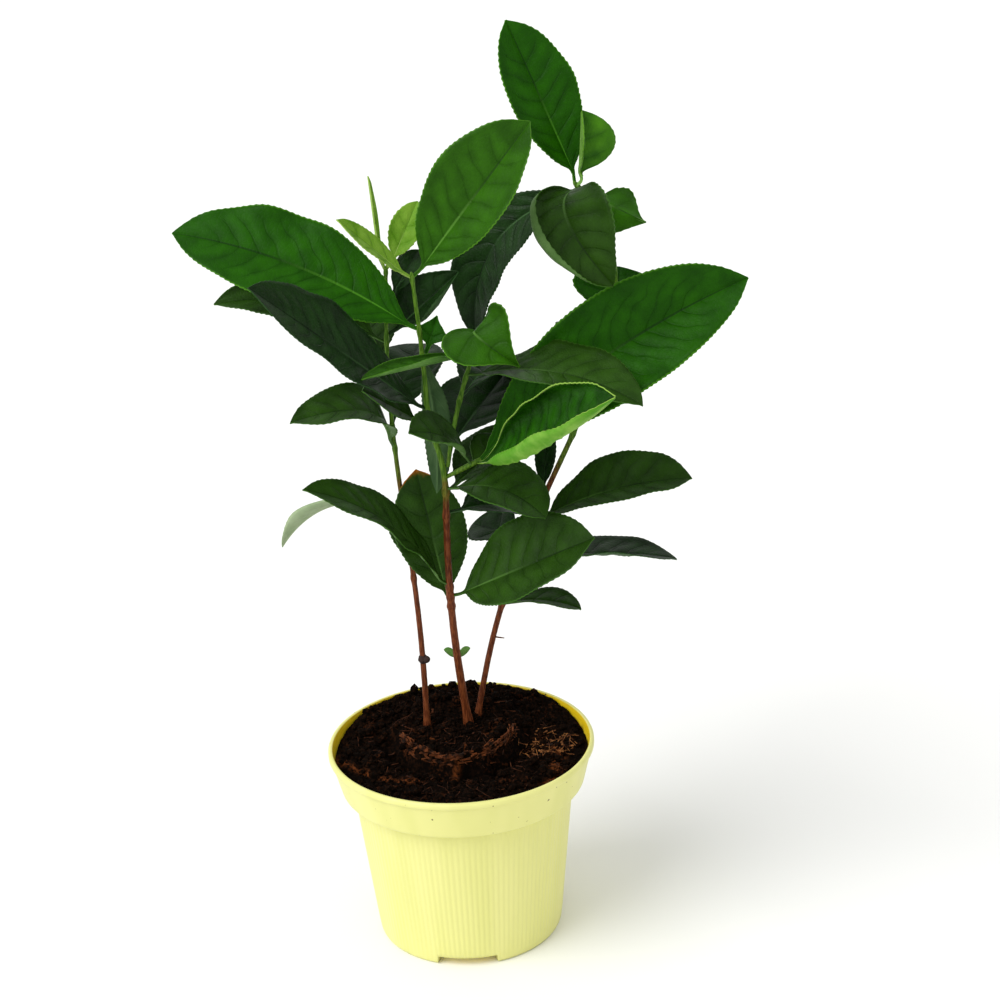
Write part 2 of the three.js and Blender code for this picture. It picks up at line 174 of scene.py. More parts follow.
class Blade:
    """The run of a CAD leaf: midrib points, half widths and directions, petiole's foot first."""

    def __init__(self, node, stems):
        bm = merged_copy(node)
        start = next(v for v in bm.verts if len(v.link_edges) == LEAF_SIDES)
        rings = [[v.co.copy() for v in ring] for ring in rings_from(start)]
        bm.free()
        self.node = node
        inner = [self._read(ring) for ring in rings[1:-1]]
        # the petiole is the narrower end; on a bud, whose ends are alike, it is the one at a stem
        first, last = inner[0][3], inner[-1][3]
        ends = (rings[0][0], rings[-1][0])
        to_stem = [(nearest_on(stems, end) - end).length for end in ends]
        alike = abs(first - last) < 0.1 * max(first, last)
        if (to_stem[0] > to_stem[1]) if alike else (first > last):
            rings.reverse()
            inner.reverse()
        foot, tip = rings[0][0], rings[-1][0]
        self.into_stem = nearest_on(stems, foot) - foot
        first, last = inner[0], inner[-1]
        self.mid = [foot, *(r[0] for r in inner), tip]
        rights = [r[1] for r in inner]
        for i in range(1, len(rights)):
            if rights[i].dot(rights[i - 1]) < 0:
                rights[i] = -rights[i]
        along = (self.mid[2] - self.mid[1]).normalized()
        if along.cross(first[2]).dot(rights[0]) < 0:
            rights = [-r for r in rights]
        self.right = [rights[0], *rights, rights[-1]]
        self.upper = [first[2], *(r[2] for r in inner), last[2]]
        self.half = [first[3] * 0.6, *(r[3] for r in inner), 0.0]
        self.lift = [0.0, *(r[4] for r in inner), 0.0]
        self.steps = [0.0]
        for a, b in zip(self.mid, self.mid[1:]):
            self.steps.append(self.steps[-1] + (b - a).length)
        self.length = self.steps[-1]
        self.steps = [s / self.length for s in self.steps]

    @staticmethod
    def _read(ring):
        """Midrib point, direction to a margin, upper face, half width and the margins' lift."""
        pairs = [(a, b) for i, a in enumerate(ring) for b in ring[i + 1 :]]
        a, b = max(pairs, key=lambda p: (p[0] - p[1]).length)
        across = (a - b).normalized()
        centre = (a + b) / 2
        rest = [p for p in ring if p is not a and p is not b]
        rest.sort(key=lambda p: abs((p - centre).dot(across)))
        rib, side = middle(rest[:2]), middle(rest[2:])
        # the two halves are flat, so margin and sides give the crease; the rib hangs below it
        place = centre + (side - centre) / (1 - math.sqrt(0.5))
        upper = place - rib
        upper -= across * upper.dot(across)
        upper.normalize()
        lift = (centre - place).dot(upper)
        return place, across, upper, (a - b).length / 2, lift

    def _share(self, where):
        """The place in the list of rings of a share of the blade's length."""
        last = len(self.steps) - 1
        for i in range(last):
            if where <= self.steps[i + 1]:
                gap = self.steps[i + 1] - self.steps[i]
                return (i + (where - self.steps[i]) / gap) / last
        return 1.0

    def at(self, where):
        """Midrib point, two directions, half width and lift at a share of the blade's length."""
        share = self._share(where)
        right = along_line(self.right, share)
        upper = along_line(self.upper, share)
        right.normalize()
        upper = (upper - right * upper.dot(right)).normalized()
        half = max(along_line(self.half, share), 0.0)
        return along_line(self.mid, share), right, upper, half, along_line(self.lift, share)


# ------------------------------------------------------------------ sizes and colours


def linear(hex_value):
    """An sRGB hex value as linear red, green, blue and alpha."""

    def channel(i):
        c = int(hex_value[i : i + 2], 16) / 255
        return c / 12.92 if c <= 0.04045 else ((c + 0.055) / 1.055) ** 2.4

    return (*(channel(i) for i in (0, 2, 4)), 1.0)


def colour(name, description, hex_value):
    """A colour property whose default is given in sRGB."""
    kind = {"subtype": "COLOR", "size": 4, "min": 0.0, "max": 1.0}
    return FloatVectorProperty(name=name, description=description, default=linear(hex_value), **kind)


def metres(name, description, value):
    return FloatProperty(name=name, description=description, default=value, unit="LENGTH")


def degrees(name, description, value):
    turn = math.radians(value)
    return FloatProperty(name=name, description=description, default=turn, unit="ROTATION")


def amount(name, description, value):
    return FloatProperty(name=name, description=description, default=value)


def whole(name, description, value, least=0):
    return IntProperty(name=name, description=description, default=value, min=least)


class PotSettings(bpy.types.PropertyGroup):
    rib_pitch: metres("Rib pitch", "Distance between two ribs of the wall", 2.4 * MM)
    rib_depth: metres("Rib depth", "Height of a rib over the wall", 0.2 * MM)
    lip: metres("Lip", "Height of the rolled lip", 3.0 * MM)
    notch_height: metres("Notch height", "Height of a drain notch in the foot", 3.6 * MM)
    collar: metres("Collar", "Height of the collar with the lip", 19 * MM)
    wall: metres("Wall", "Thickness of the wall", 1.6 * MM)
    notch_turn: degrees("Notch turn", "Angle of the front notch", -94)
    notch_half: degrees("Notch half width", "Half the angle of a notch", 19)
    colour: colour("Colour", "Moulded plastic", "E6E492")
    cloud: colour("Cloud", "Faint clouds in the plastic", "E0DF8A")
    inside: colour("Inside", "Wall with light soaking through it", "F2CE1C")


class SoilSettings(bpy.types.PropertyGroup):
    roughness: metres("Roughness", "Height of the crumbs in the surface", 3.4 * MM)
    crumbs: whole("Crumbs", "Loose crumbs of peat", 2200)
    fibres: whole("Fibres", "Dark loose fibres and bark chips", 260)
    straws: whole("Straws", "Pale straws in a tuft on the right", 90)
    roots: whole("Roots", "Matted roots on the plug's rim", 150)
    plug_radius: metres("Plug radius", "Radius of the old root plug", 27 * MM)
    plug_forward: metres("Plug forward", "From the stems to the plug's middle", 5 * MM)
    heap: metres("Heap", "Rise of the soil towards the back wall", 5.0 * MM)
    colour: colour("Colour", "Damp peat", "080402")
    grain: colour("Grain", "Lighter grains of peat", "1C0E06")
    dry: colour("Dry", "Peat that has dried", "361B0C")
    rim: colour("Rim", "Matted roots on the rim of the plug", "6A381A")
    fibre: colour("Fibre", "Dark loose fibre", "4A2612")
    straw: colour("Straw", "Pale straw", "946034")


class StemSettings(bpy.types.PropertyGroup):
    ridge: metres("Bark ridge", "Depth of the bark's relief", 0.07 * MM)
    node_swell: amount("Node swelling", "Swelling under each leaf as a share of the radius", 0.3)
    bark_top: metres("Bark top", "Height where red bark turns to green shoot", 0.212)
    bark: colour("Bark", "Red-brown bark", "52240E")
    bark_light: colour("Light bark", "Bark between its cracks", "784020")
    shoot: colour("Shoot", "Green shoot", "3E6410")
    shoot_light: colour("Light shoot", "Lighter streaks of the shoot", "5E8426")


class LeafSettings(bpy.types.PropertyGroup):
    tooth: metres("Tooth pitch", "Distance between teeth on the margin", 2.4 * MM)
    tooth_depth: metres("Tooth depth", "Depth of the teeth", 0.6 * MM)
    vein_pitch: metres("Vein pitch", "Distance between side veins", 8.5 * MM)
    quilting: metres("Quilting", "Bulge between side veins", 0.75 * MM)
    thickness: metres("Thickness", "Thickness of the blade", 0.4 * MM)
    across: whole("Across", "Faces across a blade", 22, least=4)
    fineness: metres("Fineness", "Length of a face along a blade", 0.8 * MM)


class StageSettings(bpy.types.PropertyGroup):
    key: amount("Key light", "Strength of the light from the left", 2.05)
    sky: amount("Sky", "Strength of the light from all around", 0.75)
    lens: amount("Lens", "Focal length in millimetres", 78.6)
    camera_place: FloatVectorProperty(
        name="Camera", description="Place of the camera", default=(0.0, -0.88, 0.548), unit="LENGTH"
    )
    pitch: degrees("Pitch", "Downward tilt of the camera", 21.2)
    yaw: degrees("Yaw", "Turn of the camera to the right", 1.5)
    roll: degrees("Roll", "Tilt of the camera about its own view", -2.9)


# ------------------------------------------------------------------ materials


# side veins: how they bend, how far they lean to the tip, and where along the blade they fade out
VEIN_BEND = 1.3
VEIN_SLANT = 0.17
VEINS_FADE = 0.76
VEINS_END = 0.92
# colours of the small things
PEAT_DUST = "5A4426"
WITHERED = "B0651A"
STUB_DARK = "120905"
STUB_LIGHT = "35180C"
PAPER = "F7F7F5"


class Finish:
    """A material being built: its tree, its shader and one way to add a node."""

    def __init__(self, name):
        self.material = bpy.data.materials.new(name)
        self.material.use_nodes = True
        self.tree = self.material.node_tree
        self.shader = self.tree.nodes["Principled BSDF"]

    def add(self, kind, links=(), **settings):
        """A node of a kind with its settings, its inputs linked or set by (input, value)."""
        node = self.tree.nodes.new(kind)
        for key, value in settings.items():
            setattr(node, key, value)
        for socket, value in links:
            self.feed(node.inputs[socket], value)
        return node

    def feed(self, socket, value):
        if isinstance(value, bpy.types.NodeSocket):
            self.tree.links.new(value, socket)
        else:
            socket.default_value = value

    def maths(self, operation, a, b=0.0, c=0.0):
        links = ((0, a), (1, b), (2, c))
        return self.add("ShaderNodeMath", links, operation=operation).outputs[0]

    def blend(self, factor, a, b):
        return self.add("ShaderNodeMix", ((0, factor), (6, a), (7, b)), data_type="RGBA").outputs[2]

    def step(self, value, low, high):
        """0 below low, 1 above high and smooth between."""
        links = ((0, value), (1, low), (2, high))
        return self.add("ShaderNodeMapRange", links, interpolation_type="SMOOTHSTEP").outputs[0]

    def grain(self, size, detail=3.0, vector=None):
        """Noise with features of a real size in metres."""
        place = vector or self.place()
        links = (("Vector", place), ("Scale", 1.0 / size), ("Detail", detail))
        return self.add("ShaderNodeTexNoise", links).outputs["Fac"]

    def read(self, name):
        """A number stored on the piece's points."""
        return self.add("ShaderNodeAttribute", attribute_name=name).outputs["Fac"]

    def place(self, squeeze=None):
        """Object coordinates, or the same with their height squeezed to draw the pattern out."""
        place = self.add("ShaderNodeTexCoord").outputs["Object"]
        if squeeze is None:
            return place
        links = ((0, place), ("Scale", (1.0, 1.0, squeeze)))
        return self.add("ShaderNodeMapping", links).outputs[0]

    def height(self):
        return self.add("ShaderNodeSeparateXYZ", ((0, self.place()),)).outputs["Z"]

    def invert(self, value):
        return self.maths("SUBTRACT", 1.0, value)

    def times(self, a, b):
        return self.maths("MULTIPLY", a, b)

    def scaled(self, value, factor, start):
        return self.maths("MULTIPLY_ADD", value, factor, start)

    def set(self, **values):
        """Sets or links the shader's sockets; an underscore stands for a space."""
        for name, value in values.items():
            self.feed(self.shader.inputs[name.replace("_", " ")], value)

    def bump(self, height, distance, strength=1.0):
        links = (("Height", height), ("Distance", distance), ("Strength", strength))
        node = self.add("ShaderNodeBump", links)
        self.tree.links.new(node.outputs["Normal"], self.shader.inputs["Normal"])


def moulded_polypropylene(settings):
    """Injection-moulded polypropylene: satin, faintly cloudy, with dust and peat specks."""
    f = Finish("moulded_polypropylene")
    cloud = f.grain(12 * MM, 1.0, f.place(squeeze=0.08))
    base = f.blend(f.step(cloud, 0.3, 0.7), settings.colour, settings.cloud)
    speck = f.step(f.grain(2.2 * MM, 1.0), 0.75, 0.78)
    near_rim = f.step(f.height(), 68 * MM, 86 * MM)
    dirt = f.times(speck, near_rim)
    # light that soaks through the wall turns the inside a deeper yellow
    base = f.blend(f.read("inside"), base, settings.inside)
    base = f.blend(dirt, base, linear(PEAT_DUST))
    f.set(Base_Color=base, Roughness=0.38, IOR=1.49, Specular_IOR_Level=0.35)
    f.bump(f.grain(0.6 * MM, 2.0), 0.03 * MM, 0.4)
    return f.material


def damp_peat(settings):
    """Damp peat: matt, near black, with lighter dry grains, root-brown at the plug's rim and painted shade
    in the sunken hollow in front of the plug.
    """
    f = Finish("damp_peat")
    fine = f.grain(1.4 * MM, 6.0)
    coarse = f.grain(9 * MM, 3.0)
    base = f.blend(f.step(fine, 0.42, 0.68), settings.colour, settings.grain)
    dry = f.times(f.step(coarse, 0.5, 0.68), f.step(fine, 0.5, 0.62))
    base = f.blend(dry, base, settings.dry)
    matted = f.times(f.read("rim"), f.step(fine, 0.35, 0.6))
    base = f.blend(matted, base, settings.rim)
    # painted shade: the sunken hollow in front of the plug is painted in the darkest peat colour
    base = f.blend(f.times(f.read("damp"), 0.9), base, settings.colour)
    f.set(Base_Color=base, Roughness=0.92, Specular_IOR_Level=0.04)
    f.bump(fine, 0.8 * MM, 0.8)
    return f.material


def dry_fibre(name, tone, dark):
    """Dry fibre and bark chips: matt, with worn darker patches."""
    f = Finish(name)
    worn = f.step(f.grain(3 * MM, 2.0), 0.35, 0.65)
    f.set(Base_Color=f.blend(worn, tone, dark), Roughness=0.85, Specular_IOR_Level=0.15)
    return f.material


def thin_bark(settings):
    """Thin young bark: red-brown and finely cracked below, green and smooth on this year's wood."""
    f = Finish("thin_bark")
    cracks = f.grain(0.7 * MM, 4.0, f.place(squeeze=0.15))
    ragged = f.scaled(f.grain(6 * MM, 2.0), 24 * MM, -12 * MM)
    edge = f.maths("ADD", f.height(), ragged)
    green = f.step(edge, settings.bark_top - 12 * MM, settings.bark_top + 14 * MM)
    bark = f.blend(f.step(cracks, 0.4, 0.62), settings.bark, settings.bark_light)
    shoot = f.blend(f.step(cracks, 0.42, 0.6), settings.shoot, settings.shoot_light)
    f.set(Base_Color=f.blend(green, bark, shoot), Roughness=0.5, Specular_IOR_Level=0.15)
    f.bump(cracks, 0.15 * MM, 0.5)
    return f.material


def blade_marks(f):
    """How far along and how far out, the lines of the side veins and the panels between them."""
    uv_map = f.add("ShaderNodeUVMap", uv_map="Blade")
    uv = f.add("ShaderNodeSeparateXYZ", ((0, uv_map.outputs[0]),)).outputs
    along = uv["X"]
    out = f.maths("ABSOLUTE", f.scaled(uv["Y"], 2.0, -1.0))
    # side veins leave the midrib at a slant and bend on towards the tip near the margin
    slant = f.times(f.maths("POWER", out, VEIN_BEND), VEIN_SLANT)
    wander = f.scaled(f.grain(16 * MM, 1.0), 0.1, -0.05)
    leaning = f.maths("ADD", f.maths("SUBTRACT", along, slant), wander)
    row = f.times(leaning, f.read("vein_count"))
    off = f.maths("ABSOLUTE", f.maths("SUBTRACT", f.maths("FRACT", row), 0.5))
    short = f.invert(f.step(along, VEINS_FADE, VEINS_END))
    inner = f.times(short, f.invert(f.step(out, 0.55, 0.9)))
    line = f.times(inner, f.invert(f.step(off, 0.0, 0.09)))
    # the panels between the veins, which the upper face paints lighter as painted light on their bulges
    painted_panel_light = f.times(inner, f.step(off, 0.02, 0.4))
    return along, out, line, painted_panel_light


def withered(f, tone, along, out):
    """Turns the tip and the last of the margin orange-brown on leaves marked as aged."""
    edge = f.maths("ADD", along, f.times(f.step(out, 0.8, 1.0), 0.06))
    ragged = f.scaled(f.grain(3 * MM, 3.0), 0.1, -0.05)
    dry = f.times(f.step(f.maths("ADD", edge, ragged), 0.93, 1.01), f.read("aged"))
    return f.blend(dry, tone, linear(WITHERED))


def waxy_leaf(name, deep, light, vein, rib, margin, roughness, gloss):
    """A tea leaf's upper face: waxy, with painted shade along its sunken veins and painted light on the
    panels between them.
    """
    f = Finish(name)
    along, out, line, painted_panel_light = blade_marks(f)
    mottle = f.step(f.grain(9 * MM, 4.0), 0.3, 0.7)
    # the panels between the veins get painted light for the bulges of the quilting; the mottle is the
    # leaf's own tone
    tone = f.scaled(painted_panel_light, 0.3, f.times(mottle, 0.7))
    blade = f.blend(tone, linear(deep), linear(light))
    # painted shade in the sunken side veins
    blade = f.blend(f.times(line, 0.25), blade, linear(vein))
    # the midrib is pale at the petiole and towards the tip takes painted shade for the crease it sinks
    # into
    midrib = f.blend(f.step(along, 0.2, 0.65), linear(rib), linear(vein))
    width = f.scaled(along, -0.03, 0.055)
    on_rib = f.invert(f.step(out, 0.012, width))
    blade = f.blend(f.times(on_rib, 0.8), blade, midrib)
    # the paler margin is partly the edge's own paler green and partly a painted highlight along the rim of
    # the blade
    edge = f.step(out, 0.955, 1.0)
    blade = f.blend(f.times(edge, 0.7), blade, linear(margin))
    mesh = (("Vector", f.place()), ("Scale", 1.0 / (1.8 * MM)))
    net = f.add("ShaderNodeTexVoronoi", mesh, feature="DISTANCE_TO_EDGE").outputs["Distance"]
    blade = withered(f, blade, along, out)
    f.set(Base_Color=blade, Roughness=roughness, IOR=1.45, Specular_IOR_Level=gloss)
    sunk = f.scaled(line, -0.7, f.times(f.step(net, 0.0, 0.12), 0.25))
    f.bump(sunk, 0.35 * MM, 0.7)
    return f.material


def leaf_underside(name, tone, vein):
    """A tea leaf's underside: duller and paler, with the midrib and veins standing proud."""
    f = Finish(name)
    along, out, line, _ = blade_marks(f)
    mottle = f.step(f.grain(9 * MM, 3.0), 0.3, 0.7)
    base = f.blend(f.times(mottle, 0.5), linear(tone), linear(vein))
    base = f.blend(f.times(line, 0.4), base, linear(vein))
    on_rib = f.invert(f.step(out, 0.01, 0.06))
    base = f.blend(f.times(on_rib, 0.8), base, linear(vein))
    f.set(Base_Color=withered(f, base, along, out), Roughness=0.6, Specular_IOR_Level=0.12)
    f.bump(line, 0.3 * MM, 0.6)
    return f.material


# upper face: deep tone, light tone (also the painted light between the veins), side veins (painted shade
# in their creases and in the midrib's crease), foot of the midrib, margin (partly a painted highlight),
# roughness and gloss;
# underside: blade and veins
LEAF_KINDS = {
    "bright": (("164400", "225A00", "0E3202", "4A8620", "528F1C", 0.42, 0.09), ("4E7A34", "76A052")),
    "rich": (("224A06", "30620A", "183A04", "5C8E34", "568C24", 0.4, 0.09), ("4E7A34", "76A052")),
    "mid": (("1E3A08", "2C4E10", "162E08", "527A34", "3E6820", 0.42, 0.12), ("486A32", "6E8E52")),
    # dark: leaves of a deeper green whose tones are partly painted shade, for leaves that lie in the
    # crown's shade
    "dark": (("10260A", "1C3A12", "0A1C08", "44683A", "2E5026", 0.36, 0.13), ("34502C", "567448")),
    "fresh": (("285C06", "4A8412", "1E4A04", "8CB848", "6CA02A", 0.42, 0.12), ("6A9A3C", "92B864")),
    "cup": (("103A00", "266006", "0C2E00", "7CB040", "A4CC58", 0.4, 0.12), ("4A8A16", "9CC458")),
    "young": (("5A8C14", "84AE3A", "4E7E10", "B4D070", "A4C458", 0.45, 0.15), ("8EB052", "B6CE7C")),
    "pale": (("4E6E3C", "6E8C58", "44603A", "8CA478", "8CA478", 0.5, 0.12), ("94A880", "B4C2A0")),
}
KIND_OF_LEAF = {
    "bright": ("bright_left", "right_big", "right_top", "right_behind", "back_pointed"),
    "rich": ("top_front", "right_glossy", "shoot_down", "shoot_sweep"),
    # leaves of a deeper green, partly painted shade where they lie inside the crown and behind it
    "dark": (
        "grey_left", "right_edge", "right_inner", "mid_under", "right_narrow",
        "shoot_dark", "back_dark", "back_crumpled", "right_hang", "rear_middle",
        "rear_right_low", "rear_left_low", "left_grey",
    ),
    "fresh": ("right_young",),
    "cup": ("cupped",),
    "young": ("left_young", "left_bud", "top_sliver"),
    "pale": ("left_low",),
}
# how far the right and left half of a leaf rolls up, in radians
PLAIN_CURL = (0.35, 0.35)
CURL = {
    "cupped": (2.0, 2.0),
    "shoot_sweep": (1.2, 1.2),
    "left_hidden": (1.5, 0.4),
    "left_low": (0.9, 0.9),
    "back_crumpled": (1.4, 1.0),
    "front_fold": (0.5, 0.9),
    "right_young": (0.3, 0.2),
    "right_arch": (2.5, 0.4),
    "shoot_down": (0.9, 0.9),
}
# how steeply the halves of a leaf rise from its midrib, more than in the plain solid
CREASED = {"right_big": 0.25, "top_front": 0.2, "right_top": 0.15, "low_front": 0.12, "right_mid": 0.15}
# leaves whose end draws in to a point, and by how much of the width
POINTED = {
    "right_glossy": 0.75,
    "shoot_down": 0.8,
    "left_hidden": 0.5,
    "right_arch": 0.3,
    "back_pointed": 0.8,
    "back_crumpled": 0.6,
}
# leaves that are crumpled, and how many times more than the rest
CRUMPLED = {"back_crumpled": 3.5, "shoot_down": 2.0, "low_left": 1.6, "left_hidden": 2.5, "left_low": 1.6}
# how far a leaf's tip has dried
AGED = {"low_back": 1.0}


Form = namedtuple("Form", "curl creased pointed crumpled")


def kind_of(node):
    plain = node.removeprefix("leaf_")
    for kind, names in KIND_OF_LEAF.items():
        if plain in names:
            return kind
    return "mid"


# ------------------------------------------------------------------ making pieces


def finish_piece(name, bm, materials, nodes, smooth=True):
    """A bmesh as a finished piece that rides on the root and stands for CAD nodes."""
    mesh = bpy.data.meshes.new(name)
    bm.to_mesh(mesh)
    bm.free()
    for material in materials:
        mesh.materials.append(material)
    for face in mesh.polygons:
        face.use_smooth = smooth
    piece = bpy.data.objects.new(name, mesh)
    bpy.context.scene.collection.objects.link(piece)
    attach(piece, "root")
    if nodes:
        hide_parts(*nodes)
    return piece


def mark_points(piece, name, values):
    """Stores one number for each vertex, for the material to read."""
    layer = piece.data.attributes.new(name, "FLOAT", "POINT")
    for item, value in zip(layer.data, values):
        item.value = value


def turned_wall(profile, steps):
    """A closed turned body from a profile of (radius, height) points that starts and ends on the axis."""
    bm = bmesh.new()
    verts = [bm.verts.new((r, 0.0, z)) for r, z in profile]
    edges = [bm.edges.new(pair) for pair in zip(verts, verts[1:])]
    bmesh.ops.spin(
        bm,
        geom=verts + edges,
        cent=(0, 0, 0),
        axis=(0, 0, 1),
        dvec=(0, 0, 0),
        angle=math.tau,
        steps=steps,
        use_merge=True,
        use_duplicate=False,
    )
    bmesh.ops.remove_doubles(bm, verts=bm.verts, dist=0.005 * MM)
    bmesh.ops.recalc_face_normals(bm, faces=bm.faces)
    return bm


def smoothstep(value, low, high):
    t = max(0.0, min(1.0, (value - low) / (high - low)))
    return t * t * (3 - 2 * t)


def bell(value, width):
    """1 at nought, falling away to both sides."""
    return math.exp(-((value / width) ** 2))


def spaced(low, high, count):
    return [low + (high - low) * i / count for i in range(count + 1)]


# edges and steps of the pot that the CAD leaves out
HAIR = 0.1 * MM
EDGE = 0.3 * MM
SOFT = 0.4 * MM
STEP = 1 * MM
FOOT_ROUND = 1.5 * MM
FOOT_RING = 6 * MM
# rows of points up the body and the collar, and faces round each rib
BODY_ROWS = 16
COLLAR_ROWS = 5
RIB_FACES = 6
# the ribs are at full depth from this far above the ground to this far below the ledge
RIBS_RISE = 6 * MM
RIBS_FADE = 4 * MM
# a notch lifts what lies this near the foot's edge and below this height, and keeps some spacing
NOTCH_IN = 6.5 * MM
NOTCH_UNDER = 1.6 * MM
NOTCH_SPACING = 0.2


class PotShape:
    """The radii and heights of the CAD pot, and the finer outline that is made from them."""

    def __init__(self, s):
        bm = merged_copy("pot")
        rows = {}
        for v in bm.verts:
            rows.setdefault(round(v.co.z / HAIR) * HAIR, []).append(math.hypot(v.co.x, v.co.y))
        bm.free()
        self.top = max(rows)
        self.lip = max(max(radii) for radii in rows.values())
        self.lip_inner = min(rows[self.top])
        self.lip_foot = self.top - s.lip
        self.ledge = min(rows, key=lambda z: abs(z - (self.top - s.collar)))
        self.collar = max(rows[self.ledge])
        self.body = min(rows[self.ledge])
        self.foot = max(rows[min(rows)]) + FOOT_ROUND

    def radius(self, z):
        """Outer radius of the body at a height."""
        return self.foot + (self.body - self.foot) * z / self.ledge

    def outside(self):
        """(radius, height) from the middle of the underside out and up to the lip."""
        foot, ledge, collar, lip, top = self.foot, self.ledge, self.collar, self.lip, self.top
        under = self.lip_foot
        points = [(0.0, 0.0), (foot - FOOT_RING - STEP, 0.0), (foot - FOOT_RING, 0.0)]
        points += [(foot - FOOT_ROUND, 0.0), (foot - FOOT_ROUND / 3, SOFT), (foot, FOOT_ROUND)]
        points += [(self.radius(z), z) for z in spaced(FOOT_ROUND, ledge - 3 * SOFT, BODY_ROWS)[1:]]
        points += [(self.body, ledge), (collar - SOFT, ledge), (collar, ledge + SOFT)]
        for z in spaced(ledge + STEP, under - SOFT, COLLAR_ROWS):
            points.append((collar + (lip - STEP - collar) * (z - ledge) / (under - ledge), z))
        points += [(lip - STEP + HAIR, under), (lip - EDGE, under + HAIR), (lip, under + 2 * EDGE)]
        return points + [(lip, top - STEP), (lip - EDGE, top - EDGE), (lip - STEP, top)]

    def inside(self, wall):
        """(radius, height) from the lip down the inner side to the middle of the floor."""
        points = [(self.lip_inner + EDGE, self.top), (self.lip_inner, self.top - EDGE)]
        points += [(self.lip_inner, self.lip_foot), (self.collar - wall, self.ledge + wall)]
        points += [(self.body - wall, self.ledge + wall), (self.foot - wall, 2 * wall)]
        return points + [(0.0, 2 * wall)]

    def groove(self, s, ribs, turn, z):
        """Depth of the wall between two ribs."""
        risen = smoothstep(z, FOOT_ROUND, RIBS_RISE)
        faded = smoothstep(z, self.ledge - RIBS_FADE, self.ledge - STEP)
        return s.rib_depth * risen * (1 - faded) * (0.5 - 0.5 * math.cos(ribs * turn))


def in_notch(turn, s):
    """Whether a direction lies over one of three drain notches, the first a little left of the front."""
    third = math.tau / 3
    away = abs((turn - s.notch_turn + third / 2) % third - third / 2)
    return away < s.notch_half


def faces_axis(v):
    """1 where the wall looks at the pot's axis, 0 where it looks away."""
    outward = Vector((v.co.x, v.co.y, 0)).normalized()
    return smoothstep(-v.normal.dot(outward), 0.3, 0.8)


class TEABUSH_OT_pot(bpy.types.Operator):
    """Builds the ribbed pot with its collar, lip and drain notches"""

    bl_idname = "teabush.pot"
    bl_label = "Pot"

    def execute(self, context):
        s = context.scene.tea_pot
        pot = PotShape(s)
        ribs = round(math.tau * (pot.foot + pot.body) / 2 / s.rib_pitch)
        bm = turned_wall(pot.outside() + pot.inside(s.wall), ribs * RIB_FACES)
        for v in bm.verts:
            radius = math.hypot(v.co.x, v.co.y)
            turn = math.atan2(v.co.y, v.co.x)
            if radius > pot.radius(v.co.z) - 0.6 * s.wall:
                narrowed = 1 - pot.groove(s, ribs, turn, v.co.z) / radius
                v.co.x *= narrowed
                v.co.y *= narrowed
            if v.co.z < NOTCH_UNDER and radius > pot.foot - NOTCH_IN and in_notch(turn, s):
                v.co.z = s.notch_height + v.co.z * NOTCH_SPACING
        bm.normal_update()
        inside = [faces_axis(v) for v in bm.verts]
        piece = finish_piece("pot_shell", bm, [moulded_polypropylene(s)], ["pot"])
        mark_points(piece, "inside", inside)
        return {"FINISHED"}


# the line of the plug's rim: how far it strays, and how closely; its crest lies inside that line
RIM_STRAY = 3 * MM
RIM_STRAYS = 120
RIM_IN = 1.5 * MM
RIM_WIDTH = 1.8 * MM
RIM_HEIGHT = 3 * MM
# the hollow lies outside it
HOLLOW_OUT = 5 * MM
HOLLOW_WIDTH = 4 * MM
HOLLOW_DEPTH = 8 * MM
# rings and spokes of points in the bed of soil, and the skirt that closes it below
SOIL_RINGS = 90
SOIL_SPOKES = 240
SKIRT_DROP = 14 * MM
SKIRT_SHRINK = 0.93
# the tuft of straws: its middle and how far it spreads
TUFT = (38 * MM, -1 * MM)
TUFT_SPREAD = 7 * MM


def soil_lump(x, y, size):
    """Height of crumbly soil at a place: lumps of several sizes."""
    lumps = 0.0
    for width, share in ((9.0 * MM, 0.45), (3.6 * MM, 0.35), (1.5 * MM, 0.25)):
        lumps += share * (abs(noise.noise(Vector((x / width, y / width, 3.7)))) * 2 - 0.45)
    return lumps * size


class Ground:
    """The surface of the soil: the CAD surface with crumbs, the old plug's rim and a sunken hollow that
    the peat paints with shade.
    """

    def __init__(self, s):
        cad = merged_copy("soil")
        self.tree = BVHTree.FromBMesh(cad)
        self.highest = max(v.co.z for v in cad.verts)
        cad.free()
        feet = [t.dense[0] for t in read_stems() if t.dense[0].z < self.highest + 5 * MM]
        self.plug = middle(feet) + Vector((0, -s.plug_forward, 0))
        self.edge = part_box("soil")[1].x
        self.s = s

    def at(self, x, y):
        """The height at a place, and how far the place is part of the rim and of the hollow."""
        hit = self.tree.ray_cast(Vector((x, y, self.highest + 10 * MM)), -UP)[0]
        base = hit.z if hit else self.highest - 4 * MM
        radius = math.hypot(x - self.plug.x, y - self.plug.y)
        line = self.s.plug_radius + RIM_STRAY * noise.noise(Vector((x, y, 0)) * RIM_STRAYS)
        # the rim and the hollow run round the front of the plug only
        front = smoothstep(self.plug.y - y, -12 * MM, 14 * MM)
        rim = bell(radius - line + RIM_IN, RIM_WIDTH) * front
        hollow = bell(radius - line - HOLLOW_OUT, HOLLOW_WIDTH) * front
        # near the wall the soil lies calmer
        calm = smoothstep(self.edge - math.hypot(x, y), 0.0, 4 * MM)
        heap = self.s.heap * smoothstep(y, 5 * MM, 50 * MM)
        lump = soil_lump(x, y, self.s.roughness) * (0.4 + 0.6 * calm)
        lift = RIM_HEIGHT * rim - HOLLOW_DEPTH * hollow
        return base + heap + lump + lift * calm, rim, hollow


